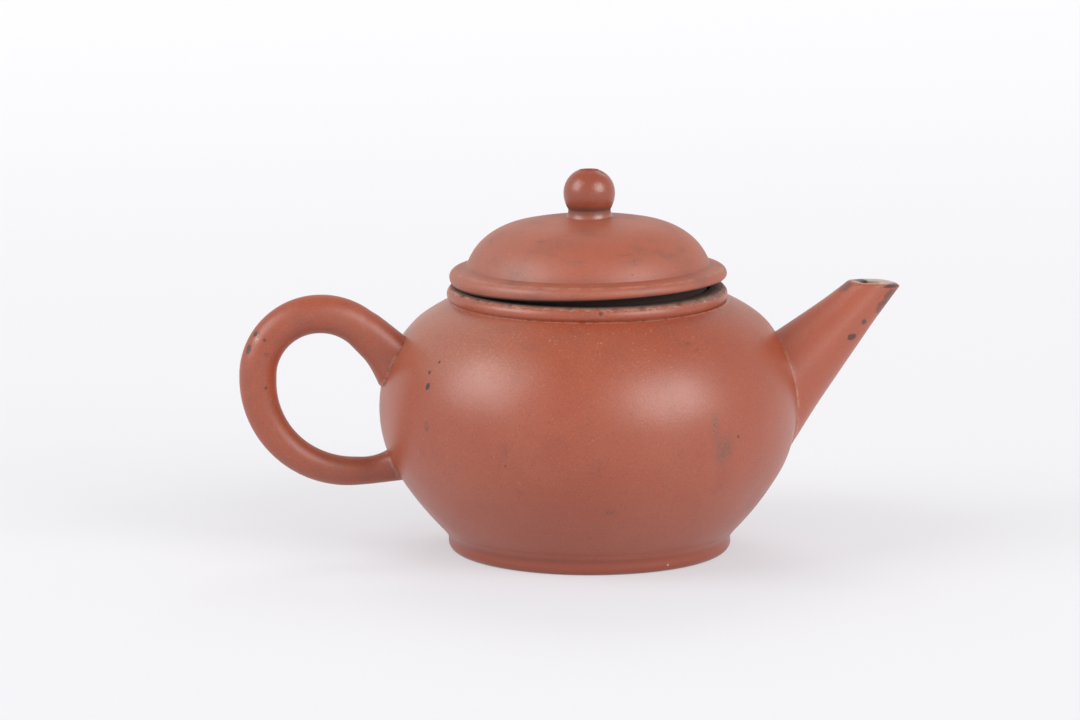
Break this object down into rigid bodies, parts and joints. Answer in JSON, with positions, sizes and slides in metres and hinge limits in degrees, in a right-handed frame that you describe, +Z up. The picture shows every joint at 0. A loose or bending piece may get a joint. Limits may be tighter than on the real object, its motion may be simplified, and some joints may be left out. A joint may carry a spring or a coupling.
{
  "type": "clay teapot",
  "caption": "Small unglazed red clay teapot with a round belly, straight tapering spout, ear-shaped handle and a loose domed lid with a ball knob.",
  "frame": {"origin": "on the pot's axis, on the plane that the foot ring stands on", "axes": "+X towards the spout, -X towards the handle, +Z up"},
  "size_m": [0.1259, 0.08, 0.073],
  "materials": {
    "pot_clay": "unglazed, softly burnished",
    "collar_clay": "unglazed, softly burnished",
    "spout_clay": "unglazed, softly burnished",
    "handle_clay": "unglazed, softly burnished",
    "lid_clay": "unglazed, softly burnished",
    "knob_clay": "unglazed, softly burnished"
  },
  "bodies": {
    "pot": {"base_disc": "pot_clay", "lower_wall": "pot_clay", "upper_wall": "pot_clay", "shoulder_disc": "pot_clay", "foot_ring": "pot_clay", "mouth_collar": "collar_clay", "spout": "spout_clay", "handle": "handle_clay"},
    "lid": {"lid_dome": "lid_clay", "lid_rim": "lid_clay", "lid_flange": "lid_clay", "knob": "knob_clay"}
  },
  "joints": [
    {"name": "lid_lift", "type": "slide", "parent": "pot", "child": "lid", "axis": [0, 0, 1], "range_m": [0, 0.06]}
  ]
}
